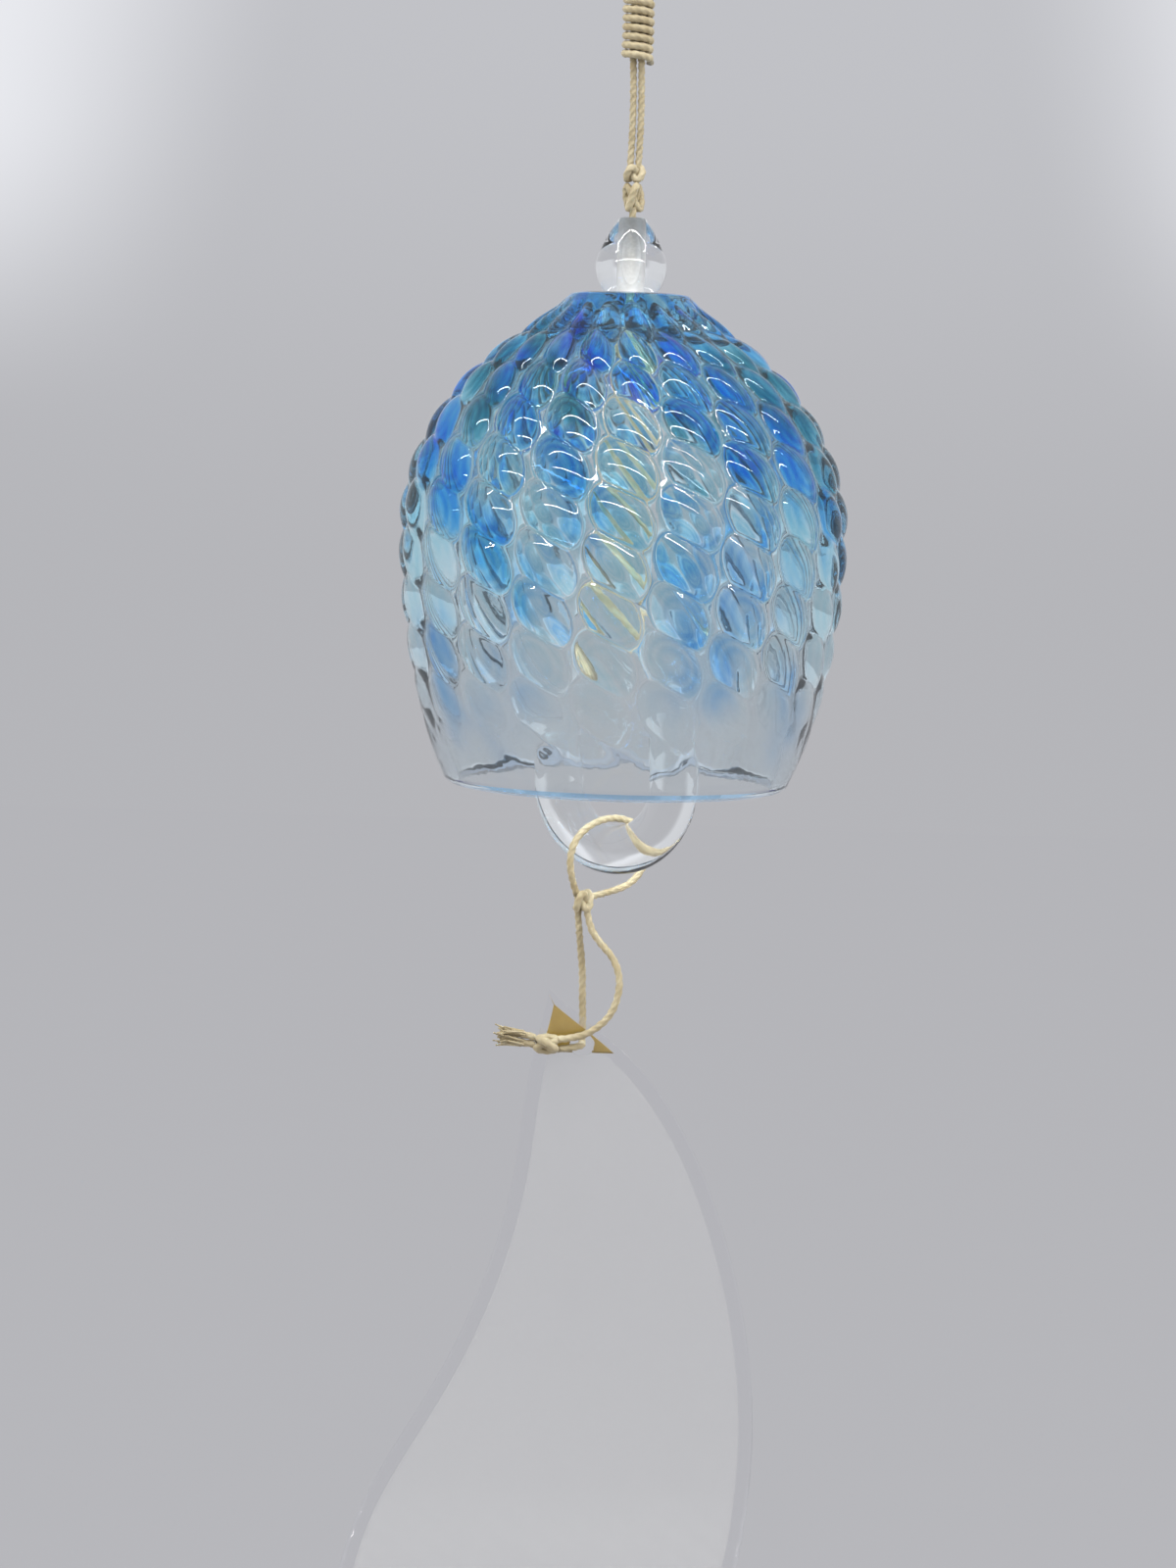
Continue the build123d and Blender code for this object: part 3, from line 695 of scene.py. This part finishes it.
# Swirl colours: strokes drawn down to the right over pale aqua, clear towards the rim.
# A stroke is its colour, strength, width in millimetres and its places: degrees round from the front
# and millimetres down the side.
clear = np.array([0.92, 0.965, 0.985])
aqua = np.array([0.62, 0.87, 0.93])
azure = np.array([0.24, 0.66, 0.91])
blue = np.array([0.05, 0.50, 0.94])
cobalt = np.array([0.012, 0.17, 0.84])
teal = np.array([0.012, 0.42, 0.52])
violet = np.array([0.13, 0.50, 0.97])
strokes = [
    (clear, 0.8, 5.0, [(-4, 25), (4, 31), (14, 38), (24, 46), (34, 55)]),
    (clear, 0.6, 4.0, [(-30, 33), (-16, 44), (-6, 54)]),
    (clear, 0.6, 4.5, [(-50, 57), (-40, 64)]),
    (teal, 0.9, 3.0, [(-62, 9), (-49, 16), (-40, 23)]),
    (teal, 0.8, 3.0, [(-72, 17), (-58, 24), (-48, 30)]),
    (blue, 0.85, 3.4, [(-50, 18), (-42, 24), (-33, 30), (-22, 35), (-15, 39), (-9, 49)]),
    (teal, 0.9, 2.8, [(-31, 19), (-23, 24), (-16, 29)]),
    (cobalt, 1.0, 2.8, [(-33, 8), (-21, 16), (-13, 20)]),
    (blue, 0.95, 4.0, [(-82, 33), (-67, 38), (-47, 47), (-36, 53), (-26, 60)]),
    (blue, 0.95, 2.4, [(-20, 12), (-12, 18), (4, 22), (13, 26), (22, 30), (33, 38)]),
    (blue, 0.95, 3.8, [(18, 14), (26, 20), (35, 26), (46, 30), (55, 35), (60, 42), (73, 46), (86, 56)]),
    (teal, 0.8, 2.6, [(40, 16), (53, 25), (63, 31)]),
    (teal, 0.8, 3.2, [(60, 17), (73, 25), (78, 34), (72, 43)]),
    (blue, 0.3, 3.0, [(32, 38), (37, 47), (46, 55), (52, 61)]),
    (violet, 0.75, 3.6, [(24, 51), (31, 57), (37, 63)]),
    (violet, 0.85, 5.4, [(20, 62), (24, 67), (25, 71)]),
    (violet, 0.55, 3.8, [(18, 75), (23, 77)]),
    (violet, 0.8, 3.6, [(-64, 68), (-58, 75), (-53, 82)]),
    (violet, 0.4, 4.4, [(-33, 71), (-27, 77)]),
    (violet, 0.3, 3.2, [(-42, 79), (-36, 88)]),
    (violet, 0.6, 4.0, [(52, 74), (58, 83)]),
    (blue, 0.9, 4.2, [(96, 22), (120, 36), (146, 50), (170, 60)]),
    (teal, 0.85, 3.4, [(110, 12), (132, 24), (150, 33)]),
    (cobalt, 0.9, 3.0, [(150, 9), (168, 18), (180, 24)]),
    (blue, 0.85, 3.8, [(-176, 18), (-150, 32), (-124, 45), (-100, 56)]),
    (teal, 0.85, 3.2, [(-150, 10), (-128, 22), (-112, 31)]),
    (violet, 0.7, 4.6, [(-150, 62), (-140, 68)]),
    (violet, 0.6, 4.2, [(118, 64), (128, 71)]),
    (blue, 0.8, 3.4, [(-104, 12), (-88, 24), (-76, 36)]),
    (blue, 0.8, 3.4, [(78, 8), (94, 18), (108, 28)]),
]


def wavy(angle, seed, counts):
    """A smooth wave round the bell, from whole counts of turns."""
    maker = np.random.default_rng(seed)
    total = np.zeros_like(angle)
    for turns in counts:
        total += np.sin(turns * angle + maker.uniform(0, 2 * pi)) / sqrt(turns)
    return total / sqrt(sum(1 / turns for turns in counts))


def stroke_share(turn, down, radius, places, width):
    """How much of a stroke lies at each place, from its distance in millimetres."""
    least = np.full_like(turn, 1e9)
    for (turn_a, down_a), (turn_b, down_b) in zip(places, places[1:]):
        scale = np.radians(1) * radius
        run = (turn_b - turn_a) * scale
        drop = down_b - down_a
        aside = ((turn - turn_a + 180) % 360 - 180) * scale
        below = down - down_a
        share = np.clip((aside * run + below * drop) / (run**2 + drop**2), 0, 1)
        least = np.minimum(least, (aside - share * run) ** 2 + (below - share * drop) ** 2)
    return np.exp(-least / width**2)


def swirl_colour(angle, down, radius):
    """Tint of the glass at an angle round the bell and a distance down its side."""
    drift = angle - np.radians(1.9 * down)
    bend = 1.3 * wavy(drift, 5, (9, 14, 21)) + 0.5 * wavy(angle, 6, (27, 33, 41))
    turn = np.degrees(angle) + 90 + 1.2 * wavy(drift, 9, (12, 19, 26))
    down_bent = down + bend
    pale = 0.55 + 0.45 * (1 - smooth_step(down, 50, 76))
    pale *= 1 - 0.75 * smooth_step(down, 66, 86)
    pale *= 0.85 + 0.15 * wavy(drift, 4, (5, 8, 13))
    colour = clear + (aqua - clear) * np.clip(pale, 0, 1)[..., None]
    crown = (1 - smooth_step(down, 5, 15)) * smooth_step(wavy(drift, 15, (6, 9, 13, 17)), -0.6, 0.8)
    colour = colour + (blue - colour) * (0.95 * crown)[..., None]
    streaks = (1 - smooth_step(down, 20, 52)) * smooth_step(wavy(drift, 21, (7, 10, 15, 22)), -0.9, 0.9)
    colour = colour + (azure - colour) * (0.8 * streaks)[..., None]
    for tint, strength, width, places in strokes:
        share = strength * stroke_share(turn, down_bent, radius, places, width)
        colour = colour + (tint - colour) * share[..., None]
    return colour


tints = np.ones((len(points), 4), np.float32)
grid_down, grid_angle = np.meshgrid(outer_lines, sides, indexing="ij")
colours = swirl_colour(grid_angle, grid_down, outer[:, :1])
heights = np.array([low / relief_depth * relief(sides, down) for low, down in zip(depth, outer_lines)])
# Rings of paler and deeper tint round each pillow's top are painted refraction rings. The tint deepens where
# the relief makes the glass thicker. Where it is almost clear in the grooves, this is partly the thinner
# glass and partly painted pale lines along them.
painted_refraction_rings = np.sin(2 * pi * 3.0 * heights + 0.6) * np.minimum(1, 4 * heights)
shown = (depth / relief_depth)[:, None]
deep = 1 - 0.55 * smooth_step(outer_lines, 34, 62)[:, None]
thickness_and_painted_rings = 0.35 + deep * (2.1 * smooth_step(heights, 0.0, 0.22) + 0.9 * heights + 0.9 * painted_refraction_rings)
plain = 2.4 - 1.5 * smooth_step(outer_lines, 6, 30)[:, None]
colours = colours ** np.maximum(0.25, plain + shown * (thickness_and_painted_rings - plain))[..., None]
tints[:, :3] = 0.97
begin = len(section) * around
tints[begin:begin + colours.shape[0] * around, :3] = colours.reshape(-1, 3)
tints[:begin, :3] = np.tile(colours[0], (len(section), 1))
layer = bell.data.color_attributes.new("swirl", "FLOAT_COLOR", "POINT")
layer.data.foreach_set("color", tints.ravel())
place(bell, "bell", "bell", slot="swirl_glass")
bell.visible_shadow = False

# Clapper ring: a bent glass rod, a little uneven along its length
line = []
for step in range(200):
    travel_at = step / 200 * (2 * pi * ring_bend + 2 * ring_straight)
    half = pi * ring_bend
    if travel_at < half:
        angle = travel_at / ring_bend
        spot = (ring_bend * cos(angle), -ring_bend + ring_bend * sin(angle))
    elif travel_at < half + ring_straight:
        spot = (-ring_bend, -ring_bend - (travel_at - half))
    elif travel_at < 2 * half + ring_straight:
        angle = pi + (travel_at - half - ring_straight) / ring_bend
        spot = (ring_bend * cos(angle), -ring_bend - ring_straight + ring_bend * sin(angle))
    else:
        spot = (ring_bend, -ring_bend - ring_straight + (travel_at - 2 * half - ring_straight))
    line.append(spot)
points = []
ring_sides = 40
for step, spot in enumerate(line):
    before, after = line[step - 1], line[(step + 1) % len(line)]
    heading = Vector((after[0] - before[0], after[1] - before[1])).normalized()
    outside = Vector((heading[1], -heading[0]))
    swell = 1 - 0.02 + 0.02 * sin(4 * pi * step / 200 + 0.6)
    for side in range(ring_sides):
        angle = 2 * pi * side / ring_sides
        reach = rod_radius * swell
        flat = spot[0] + outside[0] * reach * cos(angle)
        tall = arch_level + spot[1] + outside[1] * reach * cos(angle)
        deep = reach * sin(angle)
        points.append(ring_along * flat + ring_across * deep + z_axis * tall)
faces = []
for step in range(len(line)):
    low, high = step * ring_sides, ((step + 1) % len(line)) * ring_sides
    for side in range(ring_sides):
        after = (side + 1) % ring_sides
        faces.append((low + side, low + after, high + after, high + side))
ring = place(new_mesh("glass_ring", points, faces, glass_look), "clapper", "clapper_ring", slot="clear_glass")
ring.visible_shadow = False


# Strip
right_line = cubic_through([strip_tip, *right_edge, strip_bottom], (0.75, -0.66), (-1, 0), 24)
left_line = cubic_through([strip_bottom, *left_edge, strip_tip], (-1, 0), (0.1, 1.0), 24)


def moved_in(line, inset):
    """An edge of the strip, moved inwards."""
    heading = np.gradient(line, axis=0)
    heading /= np.linalg.norm(heading, axis=1)[:, None]
    return line + np.stack([heading[:, 1], -heading[:, 0]], axis=1) * inset


def curl(z):
    """How far the strip has bent to the front at a level below its hole."""
    turn = np.arcsin(np.clip((-bend_start - z) / bend_radius, 0, 1))
    return bend_radius * (np.cos(turn) - 1)


def crinkle(x, z):
    """Small waves of the film, stronger where it curls."""
    strength = 0.06 + 0.35 * smooth_step(-z, 62, 96)
    wave = np.sin(0.55 * x + 0.21 * z + 0.6) + 0.7 * np.sin(1.13 * x - 0.47 * z)
    wave += 0.5 * np.sin(2.3 * x + 0.9 * z)
    soft = np.sin(0.083 * z + 0.05 * x) * 1.2
    roll = -2.6 * smooth_step(-z, 74, 92)
    fold = np.sin(1.5 * z + 0.9 * x) + 0.8 * np.sin(2.1 * z - 1.7 * x + 1.0)
    roll += 0.10 * smooth_step(-z, 72, 80) * fold
    return 0.25 * strength * wave + 0.25 * soft * smooth_step(-z, 8, 30) + roll


def layer_sheet(name, inset, top, bottom, front, back, material, slot):
    """One layer of the strip: a sheet between two distances behind its middle, with the cord hole."""
    right, left = moved_in(right_line, inset), moved_in(left_line, inset)
    right = right[np.argsort(right[:, 1])]
    left = left[np.argsort(left[:, 1])]
    highest = min(top, min(right[-1, 1], left[-1, 1]) - 0.02)
    lowest = max(bottom, max(right[0, 1], left[0, 1]) + 0.02)
    levels = np.unique(np.concatenate([
        np.linspace(lowest, lowest + 6, 24) if bottom < lowest else [lowest],
        np.arange(lowest, highest, 1.0), np.arange(-3.0, 3.01, 0.4), [highest]]))
    levels = levels[(levels >= lowest) & (levels <= highest)]
    levels = levels[np.concatenate([[True], np.diff(levels) > 0.04])]
    wide = 64
    grid = []
    for z in levels:
        start, end = np.interp(z, left[:, 1], left[:, 0]), np.interp(z, right[:, 1], right[:, 0])
        if end - start < 0.02:
            start, end = (start + end) / 2 - 0.01, (start + end) / 2 + 0.01
        grid.append(np.stack([np.linspace(start, end, wide), np.full(wide, z)], axis=1))
    grid = np.array(grid)
    flat = grid.reshape(-1, 2)
    quads = []
    kept = []
    for line in range(len(levels) - 1):
        for step in range(wide - 1):
            here, below = line * wide + step, (line + 1) * wide + step
            corners = [here, here + 1, below + 1, below]
            if np.hypot(*flat[corners].mean(axis=0)) > hole_radius:
                quads.append(corners)
                kept += corners
    used = np.unique(kept)
    near = np.hypot(flat[:, 0], flat[:, 1])
    inside = used[near[used] < hole_radius]
    flat[inside] *= (hole_radius / near[inside])[:, None]
    renumber = {old: new for new, old in enumerate(used)}
    spots = flat[used]
    shift = curl(spots[:, 1]) + crinkle(spots[:, 0], spots[:, 1])
    count = len(used)
    points = []
    for distance in (front, back):
        for (x, z), y in zip(spots, shift):
            points.append(strip_hole + Vector((x, y + distance, z)))
    faces = []
    edges = {}
    for corners in quads:
        a, b, c, d = (renumber[corner] for corner in corners)
        faces.append((a, b, c, d))
        faces.append((count + d, count + c, count + b, count + a))
        for one, two in ((a, b), (b, c), (c, d), (d, a)):
            edges[(one, two)] = True
    flats = len(faces)
    for one, two in edges:
        if (two, one) not in edges:
            faces.append((two, one, count + one, count + two))
    sheet = new_mesh(name, points, faces, material)
    if material is film_look:
        sheet.data.materials.append(film_edge_look)
        for face in sheet.data.polygons[flats:]:
            face.material_index = 1
            face.use_smooth = False
    return place(sheet, "strip", *slot[0], slot=slot[1])


front_film = layer_sheet("film_front", 0, 99, -999, -0.25, -0.10, film_look, (["front_film"], "film"))
back_film = layer_sheet("film_back", 0, 99, -999, 0.10, 0.25, film_look, (["back_film"], "film"))
layer_sheet("paper_sheet", film_border, tab_bottom - 0.01, -999, -0.09, 0.09, paper_look,
            (["paper_insert"], "paper"))
layer_sheet("amber_tab", tab_border, 99, tab_bottom, -0.09, 0.09, tab_look, (["corner_tab"], "tab"))
front_film.visible_shadow = False
back_film.visible_shadow = False


# Stage: a pale floor under the hanging bell, soft lamps, and two lamp strips for the sparkle
low_grey, high_grey = (0.462, 0.464, 0.488), (0.535, 0.54, 0.57)
floor_grey = (0.470, 0.472, 0.497)


def area_lamp(name, spot, aim, wide, tall, power, sparkle=False):
    """A soft rectangular lamp, or a strip that only shows as a reflection."""
    lamp = bpy.data.lights.new(name, "AREA")
    lamp.shape = "RECTANGLE"
    lamp.size, lamp.size_y = wide, tall
    lamp.energy = power
    holder = bpy.data.objects.new(name, lamp)
    bpy.context.scene.collection.objects.link(holder)
    holder.location = spot
    holder.rotation_mode = "QUATERNION"
    holder.rotation_quaternion = (Vector(aim) - Vector(spot)).to_track_quat("-Z", "Y")
    holder.visible_camera = False
    holder.visible_diffuse = not sparkle
    holder.visible_glossy = sparkle
    holder.visible_transmission = sparkle
    return holder


area_lamp("lamp_left", (-0.75, -0.25, 0.2), (0, 0, -0.14), 0.5, 0.9, 4.6)
area_lamp("lamp_right", (0.75, -0.25, 0.2), (0, 0, -0.14), 0.5, 0.9, 4.6)
area_lamp("lamp_top", (0.0, -0.35, 0.65), (0, 0, -0.16), 0.7, 0.4, 5.5)
area_lamp("strip_front", (0.0, -0.36, 0.10), (0, 0, -0.16), 0.9, 0.009, 2.0, sparkle=True)
area_lamp("strip_high", (0.0, -0.16, 0.30), (0, 0, -0.16), 0.9, 0.009, 2.0, sparkle=True)

floor_material, tree, shader = new_material("pale_floor")
grain = noise(tree, 30, 3)
tree.links.new(ramp(tree, grain.outputs["Fac"], [(0.3, (0.60, 0.59, 0.61)), (0.7, (0.63, 0.62, 0.64))]),
               shader.inputs["Base Color"])
shader.inputs["Roughness"].default_value = 0.8
glow = node(tree, "ShaderNodeEmission")
glow.inputs["Color"].default_value = (*floor_grey, 1)
blend = node(tree, "ShaderNodeMixShader")
tree.links.new(calculate(tree, "MULTIPLY", seen_ray(tree), 0.93), blend.inputs["Fac"])
tree.links.new(shader.outputs["BSDF"], blend.inputs[1])
tree.links.new(glow.outputs["Emission"], blend.inputs[2])
tree.links.new(blend.outputs["Shader"], tree.nodes["Material Output"].inputs["Surface"])
half, level = 3000, -520
floor_corners = [(-half, -half, level), (half, -half, level), (half, half, level), (-half, half, level)]
floor = new_mesh("floor", floor_corners, [(0, 1, 2, 3)], floor_material)

# Surround: grey behind with a pale glow high at both sides, paler walls beside and above, grey in front
world = bpy.data.worlds.new("surround")
bpy.context.scene.world = world
world.use_nodes = True
tree = world.node_tree
background = tree.nodes["Background"]
heading = node(tree, "ShaderNodeSeparateXYZ")
tree.links.new(node(tree, "ShaderNodeTexCoord").outputs["Generated"], heading.inputs["Vector"])
across, along, above = (heading.outputs[axis] for axis in "XYZ")
left_side = calculate(tree, "MULTIPLY", across, -1.0)
right_side = calculate(tree, "SUBTRACT", across, 0.022)
aside = calculate(tree, "MAXIMUM", left_side, right_side)
aside = calculate(tree, "ADD", aside, calculate(tree, "MULTIPLY", above, 0.25))
front = calculate(tree, "MULTIPLY", along, -1.0)
colour = mixed(tree, soft_step(tree, above, -0.06, 0.12), low_grey, high_grey)
glow_share = calculate(tree, "MULTIPLY", soft_step(tree, aside, 0.108, 0.200),
                       soft_step(tree, above, -0.01, 0.08))
colour = mixed(tree, glow_share, colour, (0.82, 0.83, 0.87))
colour = mixed(tree, soft_step(tree, aside, 0.22, 0.40), colour, (0.66, 0.67, 0.70))
colour = mixed(tree, soft_step(tree, above, 0.45, 0.75), colour, (0.75, 0.76, 0.79))
colour = mixed(tree, soft_step(tree, front, 0.45, 0.85), colour, (0.45, 0.45, 0.47))
colour = mixed(tree, seen_ray(tree), (0.46, 0.455, 0.475), colour)
tree.links.new(colour, background.inputs["Color"])
background.inputs["Strength"].default_value = 1.0
bpy.context.scene.view_settings.view_transform = "Standard"
